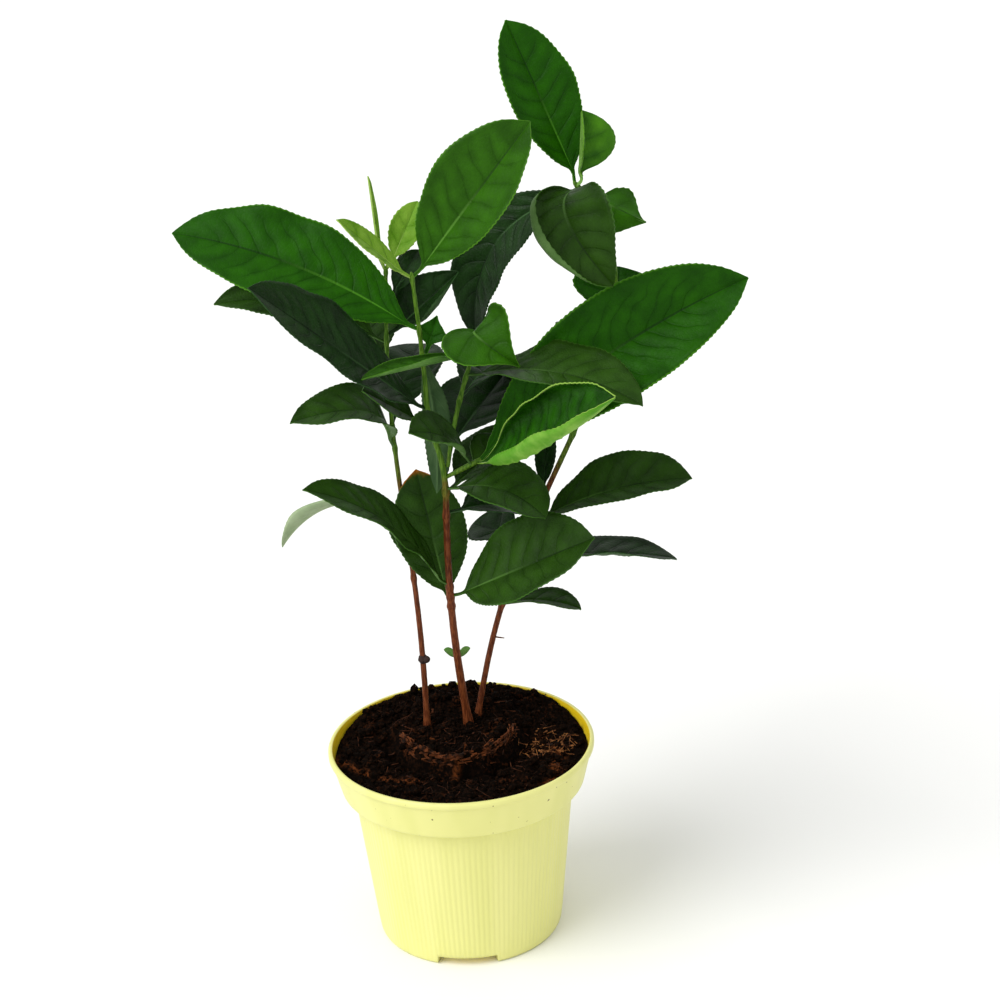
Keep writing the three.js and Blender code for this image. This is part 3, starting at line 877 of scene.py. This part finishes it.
class TEABUSH_OT_soil(bpy.types.Operator):
    """Builds the crumbly soil with its old root plug, loose crumbs, fibres and bark chips"""

    bl_idname = "teabush.soil"
    bl_label = "Soil"

    def execute(self, context):
        s = context.scene.tea_soil
        ground = Ground(s)
        peat = damp_peat(s)
        self.bed(ground, peat)
        fibre = dry_fibre("dry_fibre", s.fibre, s.grain)
        straw = dry_fibre("dry_straw", s.straw, s.fibre)
        root = dry_fibre("matted_root", s.rim, s.grain)
        for name, bm, material in (
            ("soil_crumbs", self.crumbs(s, ground), peat),
            ("soil_fibres", self.fibres(ground, s.fibres, (0, 0), ground.edge / 2), fibre),
            ("soil_straw", self.fibres(ground, s.straws, TUFT, TUFT_SPREAD), straw),
            ("soil_roots", self.roots(s, ground), root),
        ):
            finish_piece(name, bm, [material], [], smooth=False)
        return {"FINISHED"}

    @staticmethod
    def bed(ground, peat):
        """The bed of soil with a skirt that runs down inside the pot."""
        rings = spaced(0.0, ground.edge - 0.2 * MM, SOIL_RINGS)
        bm = turned_wall([(r, ground.highest) for r in rings], SOIL_SPOKES)
        rim = []
        damp = []
        for v in bm.verts:
            v.co.z, matted, hollow = ground.at(v.co.x, v.co.y)
            rim.append(matted)
            damp.append(hollow)
        outline = [e for e in bm.edges if e.is_boundary]
        skirt = bmesh.ops.extrude_edge_only(bm, edges=outline)["geom"]
        for v in skirt:
            if isinstance(v, bmesh.types.BMVert):
                v.co.z = ground.highest - SKIRT_DROP
                v.co.x *= SKIRT_SHRINK
                v.co.y *= SKIRT_SHRINK
        bmesh.ops.holes_fill(bm, edges=[e for e in bm.edges if e.is_boundary], sides=0)
        bmesh.ops.recalc_face_normals(bm, faces=bm.faces)
        piece = finish_piece("soil_bed", bm, [peat], ["soil"])
        mark_points(piece, "rim", rim)
        # how far each point lies in the hollow, for the painted shade there
        mark_points(piece, "damp", damp)

    @staticmethod
    def crumbs(s, ground):
        """Loose crumbs of peat, larger in the heap at the back and none in the hollow."""
        rng = random.Random(11)
        bm = bmesh.new()
        for _ in range(s.crumbs):
            angle = rng.uniform(0, math.tau)
            radius = (ground.edge - 2 * MM) * math.sqrt(rng.random())
            x, y = radius * math.cos(angle), radius * math.sin(angle)
            height, matted, hollow = ground.at(x, y)
            if hollow > 0.25 or matted > 0.5:
                continue
            heaped = smoothstep(y, 22 * MM, 48 * MM)
            size = min(rng.lognormvariate(-0.3, 0.6), 3.0) * MM * (1 + 0.25 * heaped)
            size = min(size, 0.7 * (ground.edge - radius))
            turn = Matrix.Rotation(rng.uniform(0, math.tau), 4, Vector((rng.random(), rng.random(), 1)))
            stretch = Matrix.Diagonal((size, size * rng.uniform(0.6, 1), size * rng.uniform(0.5, 0.9), 1))
            stacked = 0.3 + 0.5 * heaped * rng.random()
            place = Matrix.Translation((x, y, height + stacked * size)) @ turn @ stretch
            bmesh.ops.create_icosphere(bm, subdivisions=1, radius=1.0, matrix=place)
        return crinkled(bm, 0.9, 0.25 * MM)

    @staticmethod
    def roots(s, ground):
        """Matted roots that run along the plug's front rim."""
        rng = random.Random(5)
        bm = bmesh.new()
        for _ in range(s.roots):
            angle = math.radians(rng.uniform(190, 350))
            radius = s.plug_radius + rng.gauss(-1.2, 0.7) * MM
            x, y = ground.plug.x + radius * math.cos(angle), ground.plug.y + radius * math.sin(angle)
            size = (rng.uniform(3, 7) * MM, rng.uniform(0.3, 0.8) * MM, rng.uniform(0.3, 0.7) * MM)
            place = Vector((x, y, ground.at(x, y)[0] + rng.uniform(0.0, 0.8) * MM))
            lay_fibre(bm, place, angle + math.tau / 4, rng, size)
        return crinkled(bm, *FIBRE_CRINKLE)

    @staticmethod
    def fibres(ground, count, centre, spread_out):
        """Fibres and chips of bark lying on the soil around a place."""
        rng = random.Random(count)
        bm = bmesh.new()
        for i in range(count):
            x = centre[0] + rng.gauss(0, spread_out)
            y = centre[1] + rng.gauss(0, spread_out)
            if math.hypot(x, y) > ground.edge - 6 * MM:
                continue
            chip = i % 7 == 0
            length = rng.uniform(2, 3.5) * MM if chip else rng.uniform(3, 9) * MM
            width = rng.uniform(0.6, 1.3) * MM if chip else rng.uniform(0.12, 0.3) * MM
            size = (length, width, max(0.25 * MM, width * 0.4))
            place = Vector((x, y, ground.at(x, y)[0] + 0.5 * MM))
            lay_fibre(bm, place, rng.uniform(0, math.tau), rng, size)
        return crinkled(bm, *FIBRE_CRINKLE)


def lay_fibre(bm, place, heading, rng, size):
    """Adds a small bar of a size, lying nearly flat along a heading."""
    turn = Matrix.Rotation(heading + rng.gauss(0, 0.25), 4, "Z")
    tilt = Matrix.Rotation(rng.gauss(0, 0.2), 4, "Y")
    matrix = Matrix.Translation(place) @ turn @ tilt @ Matrix.Diagonal((*size, 1))
    made = bmesh.ops.create_cube(bm, size=1.0, matrix=matrix)
    lengthwise = {e for v in made["verts"] for e in v.link_edges if e.calc_length() > 0.8 * size[0]}
    bmesh.ops.subdivide_edges(bm, edges=list(lengthwise), cuts=3)


# how closely and how far fibres are bent
FIBRE_CRINKLE = (0.35, 0.5 * MM)


def crinkled(bm, closeness, reach):
    """The same mesh with its points strayed by noise."""
    for v in bm.verts:
        v.co += noise.noise_vector(v.co / MM * closeness) * reach
    bmesh.ops.recalc_face_normals(bm, faces=bm.faces)
    return bm


def wrapped_tube(run, rows, sides, shape):
    """A closed tube from a grid: run(share) is point, direction, radius; shape(share, angle) scales it."""
    bm = bmesh.new()
    bmesh.ops.create_grid(bm, x_segments=rows, y_segments=sides, size=1.0)
    for v in bm.verts:
        share = (v.co.x + 1) / 2
        angle = (v.co.y + 1) * math.pi
        point, along, radius = run(share)
        side = along.cross(Vector((0, 1, 0))).normalized()
        front = side.cross(along).normalized()
        reach = radius * shape(share, angle)
        v.co = point + side * (reach * math.cos(angle)) + front * (reach * math.sin(angle))
    bmesh.ops.remove_doubles(bm, verts=bm.verts, dist=0.002 * MM)
    bmesh.ops.holes_fill(bm, edges=[e for e in bm.edges if e.is_boundary], sides=0)
    bmesh.ops.recalc_face_normals(bm, faces=bm.faces)
    return bm


# the side limbs start inside the stem they grow from
SIDE_LIMBS = ("stem_shoot", "stem_twig")
SIDE_LIMB_IN = 1.5 * MM
# a leaf this near a stem grows from it
LEAF_NEAR = 5 * MM
# sides of a stem and length of a face along it, and the share of it after which its tip is rounded
BARK_SIDES = 21
BARK_ROW = 0.9 * MM
ROUNDED = 0.985
# heights of the small growths above the ground
KNOT_HEIGHT = 125 * MM
SPROUT_HEIGHT = 127 * MM
SPUR_HEIGHT = 131 * MM
# the spur's reach, and the sprout's leaves: half their width, how far they reach out and rise
SPUR = Vector((5.0, -1.0, -0.6)) * MM
SPUR_RADIUS = 0.45 * MM
SPROUT_HALF = 2.2 * MM
SPROUT_REACH = 6.0 * MM
SPROUT_RISE = 3.0 * MM


class TEABUSH_OT_stems(bpy.types.Operator):
    """Builds the stems with their bark, leaf nodes, knot and pruned stubs"""

    bl_idname = "teabush.stems"
    bl_label = "Stems"

    def execute(self, context):
        s = context.scene.tea_stem
        bark = thin_bark(s)
        stems = read_stems()
        feet = [Blade(node, stems).mid[0] for node in nodes_named("leaf_")]
        for stem in stems:
            own = [foot.z for foot in feet if (nearest_on([stem], foot) - foot).length < LEAF_NEAR]
            self.stem(stem, own, s, bark)
        self.knot(named(stems, "stem_left"))
        self.spur(named(stems, "stem_right"), bark)
        return {"FINISHED"}

    @staticmethod
    def stem(stem, heights, s, bark):
        """One stem with its bark, swollen a little below the height of each of its leaves."""
        length = (stem.dense[-1] - stem.dense[0]).length

        def run(share):
            point, along, radius = stem.at(share)
            if share == 0.0 and stem.node in SIDE_LIMBS:
                point = point - along * SIDE_LIMB_IN
            swell = sum(bell(point.z - height + 1 * MM, 1.6 * MM) for height in heights)
            return point, along, radius * (1 + s.node_swell * min(swell, 1.2))

        def shape(share, angle):
            along = share * length / MM
            ridge = noise.noise(Vector((math.cos(angle) * 2.2, math.sin(angle) * 2.2, along * 0.22)))
            crack = noise.noise(Vector((math.cos(angle) * 4, math.sin(angle) * 4, along * 0.9)))
            end = max(0.0, share - ROUNDED) / (1 - ROUNDED)
            taper = max(0.35, 1 - 0.6 * end**2)
            return (1 + (s.ridge / (1.3 * MM)) * (ridge + 0.6 * crack)) * taper

        bm = wrapped_tube(run, max(12, round(length / BARK_ROW)), BARK_SIDES, shape)
        finish_piece(stem.node + "_bark", bm, [bark], [stem.node])

    @staticmethod
    def knot(stem):
        """A knot with a black pruned stub low on the left stem."""
        point = stem.at_height(KNOT_HEIGHT)[0]
        bm = bmesh.new()
        ball = Matrix.Translation(point) @ Matrix.Diagonal((2.1 * MM, 2.0 * MM, 2.6 * MM, 1))
        bmesh.ops.create_icosphere(bm, subdivisions=3, radius=1.0, matrix=ball)
        stub = Matrix.Translation(point + Vector((1.9, -1.4, 0.3)) * MM)
        bmesh.ops.create_icosphere(bm, subdivisions=3, radius=1.6 * MM, matrix=stub)
        for v in bm.verts:
            v.co += noise.noise_vector(v.co / MM * 0.8) * 0.3 * MM
        f = Finish("cut_wood")
        wood = f.blend(f.grain(1 * MM), linear(STUB_DARK), linear(STUB_LIGHT))
        f.set(Base_Color=wood, Roughness=0.8)
        finish_piece("stem_left_knot", bm, [f.material], [])

    @staticmethod
    def spur(stem, bark):
        """A short dead spur low on the right stem."""
        point = stem.at_height(SPUR_HEIGHT)[0]
        heading = Vector((1, -0.2, -0.1)).normalized()

        def run(share):
            return point + SPUR * share, heading, SPUR_RADIUS * (1 - 0.5 * share)

        def shape(share, angle):
            return 1 + 0.2 * noise.noise(Vector((share * 9, angle, 0)))

        bm = wrapped_tube(run, 8, 9, shape)
        finish_piece("stem_right_spur", bm, [bark], [])


def named(stems, node):
    return next(stem for stem in stems if stem.node == node)


class TEABUSH_OT_leaves(bpy.types.Operator):
    """Builds every leaf with its petiole, toothed margin, veins and pale underside"""

    bl_idname = "teabush.leaves"
    bl_label = "Leaves"

    def execute(self, context):
        s = context.scene.tea_leaf
        stems = read_stems()
        faces = {
            kind: (waxy_leaf("waxy_leaf_" + kind, *upper), leaf_underside("underside_" + kind, *under))
            for kind, (upper, under) in LEAF_KINDS.items()
        }
        for index, node in enumerate(nodes_named("leaf_")):
            self.leaf(Blade(node, stems), index, s, faces[kind_of(node)])
        self.sprout(named(stems, "stem_centre"), faces["rich"][1])
        return {"FINISHED"}

    @staticmethod
    def sprout(stem, material):
        """Two tiny pale leaves that spread in a V from behind the centre stem."""
        foot, _, radius = stem.at_height(SPROUT_HEIGHT)
        bm = bmesh.new()
        for side in (-1, 1):
            made = bmesh.ops.create_grid(bm, x_segments=12, y_segments=6, size=1.0)
            for v in made["verts"]:
                share = (v.co.x + 1) / 2
                out = v.co.y
                half = SPROUT_HALF * math.sin(math.pi * min(1, share * 0.93 + 0.05)) ** 0.8
                back = radius + 0.4 * MM + 1.2 * MM * share + 0.5 * abs(out) * half
                v.co = foot + Vector((side * SPROUT_REACH * share, back, SPROUT_RISE * share + out * half))
        bmesh.ops.recalc_face_normals(bm, faces=bm.faces)
        bmesh.ops.solidify(bm, geom=bm.faces, thickness=0.35 * MM)
        bmesh.ops.recalc_face_normals(bm, faces=bm.faces)
        finish_piece("sprout", bm, [material], [])

    @staticmethod
    def leaf(blade, seed, s, materials):
        """One leaf: an upper face, an underside below it and the margin that joins them."""
        plain = blade.node.removeprefix("leaf_")
        rows = max(24, round(blade.length / s.fineness))
        veins = max(3, round(blade.length / s.vein_pitch))
        bm = bmesh.new()
        uv = bm.loops.layers.uv.new("Blade")
        bmesh.ops.create_grid(bm, x_segments=rows, y_segments=s.across, size=1.0)
        marks = {v: ((v.co.x + 1) / 2, spread(v.co.y)) for v in bm.verts}
        for face in bm.faces:
            for loop in face.loops:
                along, across = marks[loop.vert]
                loop[uv].uv = (along, 0.5 + 0.5 * across)
        form = Form(
            CURL.get(plain, PLAIN_CURL),
            CREASED.get(plain, 0.0),
            POINTED.get(plain, 0.0),
            CRUMPLED.get(plain, 1.0),
        )
        depth = {}
        for v, (along, across) in marks.items():
            v.co, depth[v] = blade_point(blade, along, across, veins, seed * DRIFT, form, s)
        bm.normal_update()
        bm.faces.ensure_lookup_table()
        if bm.faces[len(bm.faces) // 2].normal.dot(blade.at(0.5)[2]) < 0:
            bmesh.ops.reverse_faces(bm, faces=bm.faces)
            bm.normal_update()
        sunk = {v: v.co - v.normal * depth[v] for v in bm.verts}
        copy = bmesh.ops.duplicate(bm, geom=list(bm.verts) + list(bm.edges) + list(bm.faces))
        for old, new in copy["vert_map"].items():
            if old in sunk and isinstance(new, bmesh.types.BMVert):
                new.co = sunk[old]
        under = [g for g in copy["geom"] if isinstance(g, bmesh.types.BMFace)]
        bmesh.ops.reverse_faces(bm, faces=under)
        for face in under:
            face.material_index = 1
        bmesh.ops.bridge_loops(bm, edges=[e for e in bm.edges if e.is_boundary])
        bmesh.ops.remove_doubles(bm, verts=bm.verts, dist=0.01 * MM)
        bmesh.ops.dissolve_degenerate(bm, edges=bm.edges, dist=0.005 * MM)
        bmesh.ops.recalc_face_normals(bm, faces=bm.faces)
        piece = finish_piece(plain + "_leaf", bm, materials, [blade.node])
        count = len(piece.data.vertices)
        mark_points(piece, "vein_count", [veins] * count)
        mark_points(piece, "aged", [AGED.get(plain, 0.0)] * count)


# the petiole: its length, half its width and its depth
PETIOLE = 5 * MM
STALK_HALF = 0.75 * MM
STALK_DEPTH = 1.3 * MM
# the midrib: the width and the depth of its groove above and of its rib below
RIB_WIDTH = 0.7 * MM
RIB_DEPTH = 0.7 * MM
GROOVE_DEPTH = 0.3 * MM
# the share of each half that stays flat where the rest rolls up
FLAT = 0.5
# how high a blade waves and its margin ripples, and how long each wave is
WAVE = 1.6 * MM
WAVE_LENGTH = 14 * MM
RIPPLE = 0.5 * MM
RIPPLE_LENGTH = 4.6 * MM
# a step through the noise from leaf to leaf, so that no two are alike
DRIFT = 7.31


def spread(across):
    """Columns of faces stand closer at the midrib."""
    return across * (0.4 + 0.6 * abs(across))


def blade_point(blade, along, across, veins, drift, form, s):
    """A point of the upper face and the thickness of the blade there."""
    place, right, upper, half, lift = blade.at(along)
    half *= 1 - form.pointed * smoothstep(along, 0.45, 1.0)
    petiole = PETIOLE / blade.length
    stalk = 1 - smoothstep(along, petiole * 0.7, petiole * 1.8)
    blade_share = 1 - stalk
    out = abs(across)
    side = 1 if across >= 0 else -1
    run = along * blade.length
    # blunt teeth that lean to the tip
    saw = (run / s.tooth + 0.13 * side) % 1.0
    bite = s.tooth_depth * smoothstep(half, 2 * MM, 6 * MM) * smoothstep(out, 0.8, 1.0)
    reach = (half * blade_share + min(half, STALK_HALF) * stalk) * out + bite * (saw**1.5 - 0.6)
    # the outer part of each half rolls up and over by an angle
    roll = form.curl[0 if side > 0 else 1] * (0.6 + 0.8 * math.sin(math.pi * along)) * blade_share
    rise = 0.0
    if out > FLAT and roll > 0.01:
        angle = roll * (out - FLAT) / (1 - FLAT)
        radius = half * (1 - FLAT) / roll
        rise = radius * (1 - math.cos(angle))
        reach = reach - (out - FLAT) * half + radius * math.sin(angle)
    # between the side veins the blade bulges
    row = (along - VEIN_SLANT * out**VEIN_BEND) * veins
    wander = 0.25 * noise.noise(Vector((run / (16 * MM), out * 2 * side, drift)))
    quilt = s.quilting * (abs(math.sin(math.pi * (row + wander - 0.5))) ** 0.7 - 0.6)
    quilt *= smoothstep(out, 0.02, 0.25) * (1 - smoothstep(out, 0.7, 1.0)) * min(1, half / (14 * MM))
    quilt *= 1 - smoothstep(along, VEINS_FADE, VEINS_END)
    wave = WAVE * noise.noise(Vector((run / WAVE_LENGTH, side * 2.0, drift))) * out**2
    wave += RIPPLE * math.sin(run / RIPPLE_LENGTH + drift + side) * smoothstep(out, 0.6, 1.0)
    wave *= form.crumpled * min(1.0, half / (12 * MM))
    groove = -GROOVE_DEPTH * bell(reach, RIB_WIDTH)
    # the halves rise from the midrib and flatten towards the margin
    rise += lift * (1 - (1 - out) ** 1.6) + form.creased * half * out * blade_share
    point = place + right * (reach * side) + upper * (rise + (quilt + wave + groove) * blade_share)
    rib = RIB_DEPTH * bell(reach, RIB_WIDTH) * (1 - 0.75 * along)
    depth = (s.thickness + rib) * blade_share
    if stalk > 0:
        round_part = STALK_DEPTH * math.sqrt(max(0.05, 1 - out**2))
        depth += round_part * stalk
        point -= upper * (0.5 * round_part * stalk * out**2)
    point += blade.into_stem * (1 - smoothstep(along, 0.0, petiole))
    return point, depth


# the floor reaches this far each way, and lies a hair under the pot
FLOOR_REACH = 6.0
FLOOR_DROP = 0.2 * MM
# where the key light stands and how wide it looks
KEY_PLACE = (-1.0, -0.55, 1.2)
KEY_WIDTH = math.radians(45)


class TEABUSH_OT_stage(bpy.types.Operator):
    """Builds the pale floor, the soft studio light and the camera"""

    bl_idname = "teabush.stage"
    bl_label = "Stage"

    def execute(self, context):
        s = context.scene.tea_stage
        bm = bmesh.new()
        bmesh.ops.create_grid(bm, x_segments=1, y_segments=1, size=FLOOR_REACH)
        mesh = bpy.data.meshes.new("floor")
        bm.to_mesh(mesh)
        bm.free()
        paper = Finish("matt_paper")
        paper.set(Base_Color=linear(PAPER), Roughness=0.9)
        mesh.materials.append(paper.material)
        floor = bpy.data.objects.new("floor", mesh)
        floor.location.z = -FLOOR_DROP
        context.scene.collection.objects.link(floor)
        self.light(context, s.key)
        world = bpy.data.worlds.new("studio")
        world.use_nodes = True
        world.node_tree.nodes["Background"].inputs[0].default_value = (1, 1, 1, 1)
        world.node_tree.nodes["Background"].inputs[1].default_value = s.sky
        context.scene.world = world
        context.scene.view_settings.view_transform = "Standard"
        self.camera(context, s)
        return {"FINISHED"}

    @staticmethod
    def light(context, power):
        """A broad, even light from one side."""
        lamp = bpy.data.lights.new("key", "SUN")
        lamp.energy = power
        lamp.angle = KEY_WIDTH
        holder = bpy.data.objects.new("key", lamp)
        holder.location = KEY_PLACE
        holder.rotation_euler = (-Vector(KEY_PLACE)).to_track_quat("-Z", "Y").to_euler()
        context.scene.collection.objects.link(holder)

    @staticmethod
    def camera(context, s):
        look = Vector(
            (math.sin(s.yaw) * math.cos(s.pitch), math.cos(s.yaw) * math.cos(s.pitch), -math.sin(s.pitch))
        )
        side = look.cross(UP).normalized()
        up = side.cross(look)
        right = side * math.cos(s.roll) + up * math.sin(s.roll)
        top = up * math.cos(s.roll) - side * math.sin(s.roll)
        lens = bpy.data.cameras.new("camera")
        lens.lens = s.lens
        lens.sensor_width = 36
        camera = bpy.data.objects.new("camera", lens)
        turn = Matrix((right, top, -look)).transposed().to_4x4()
        camera.matrix_world = Matrix.Translation(Vector(s.camera_place)) @ turn
        context.scene.collection.objects.link(camera)
        context.scene.camera = camera


class TEABUSH_PT_panel(bpy.types.Panel):
    """Lists the steps that build the tea bush"""

    bl_idname = "TEABUSH_PT_panel"
    bl_label = "Tea Bush"
    bl_space_type = "VIEW_3D"
    bl_region_type = "UI"
    bl_category = "Tea Bush"

    def draw(self, context):
        for step, settings in STEPS:
            self.layout.operator(step.bl_idname)
            group = getattr(context.scene, settings)
            for name in group.bl_rna.properties.keys():
                if name not in ("rna_type", "name"):
                    self.layout.prop(group, name)


SETTINGS = {
    "tea_pot": PotSettings,
    "tea_soil": SoilSettings,
    "tea_stem": StemSettings,
    "tea_leaf": LeafSettings,
    "tea_stage": StageSettings,
}
STEPS = (
    (TEABUSH_OT_pot, "tea_pot"),
    (TEABUSH_OT_soil, "tea_soil"),
    (TEABUSH_OT_stems, "tea_stem"),
    (TEABUSH_OT_leaves, "tea_leaf"),
    (TEABUSH_OT_stage, "tea_stage"),
)


def register():
    for group in SETTINGS.values():
        bpy.utils.register_class(group)
    for name, group in SETTINGS.items():
        setattr(bpy.types.Scene, name, PointerProperty(type=group))
    for step, _ in STEPS:
        bpy.utils.register_class(step)
    bpy.utils.register_class(TEABUSH_PT_panel)


def unregister():
    bpy.utils.unregister_class(TEABUSH_PT_panel)
    for step, _ in reversed(STEPS):
        bpy.utils.unregister_class(step)
    for name, group in SETTINGS.items():
        delattr(bpy.types.Scene, name)
        bpy.utils.unregister_class(group)


def main():
    register()
    bpy.ops.teabush.pot()
    bpy.ops.teabush.soil()
    bpy.ops.teabush.stems()
    bpy.ops.teabush.leaves()
    bpy.ops.teabush.stage()


if __name__ == "__main__":
    main()
